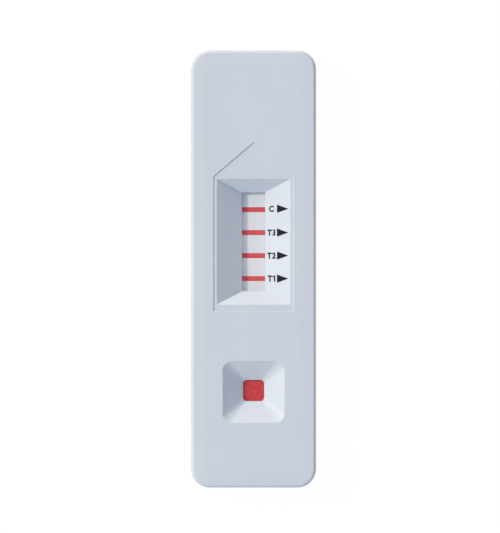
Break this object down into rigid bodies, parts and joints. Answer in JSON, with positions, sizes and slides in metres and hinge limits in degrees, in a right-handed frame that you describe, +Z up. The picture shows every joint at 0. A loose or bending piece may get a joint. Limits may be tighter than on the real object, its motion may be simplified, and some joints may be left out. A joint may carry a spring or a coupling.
{
  "type": "lateral flow cassette",
  "caption": "Flat moulded test cassette with a sloped result window and a sample well over a paper-like test strip with reagent lines.",
  "frame": {"origin": "middle of the tray's flat underside", "axes": "+Z up out of the window and the well, +Y along the strip from its foot under the well to its head in the wick, +X across it"},
  "size_m": [0.02, 0.07, 0.0047],
  "materials": {
    "shell": "satin moulded polystyrene, very slightly blue white",
    "card": "smooth white plastic card",
    "membrane": "very fine, dull white porous sheet",
    "sample_pad": "dull white fibre pad",
    "conjugate_pad": "thin glass-fibre pad, dyed a dull rose",
    "absorbent_pad": "thick white cotton-fibre paper",
    "blood": "wet, soaked dark red",
    "reagent": "red dye bound in the membrane, with soft edges"
  },
  "bodies": {
    "root": {"upper_shell": "shell", "lower_shell": "shell", "backing_card": "card", "nitrocellulose_membrane": "membrane", "sample_pad": "sample_pad", "conjugate_pad": "conjugate_pad", "absorbent_pad": "absorbent_pad", "blood_spot": "blood", "control_line": "reagent", "test_line_1": "reagent", "test_line_2": "reagent", "test_line_3": "reagent"}
  },
  "joints": []
}
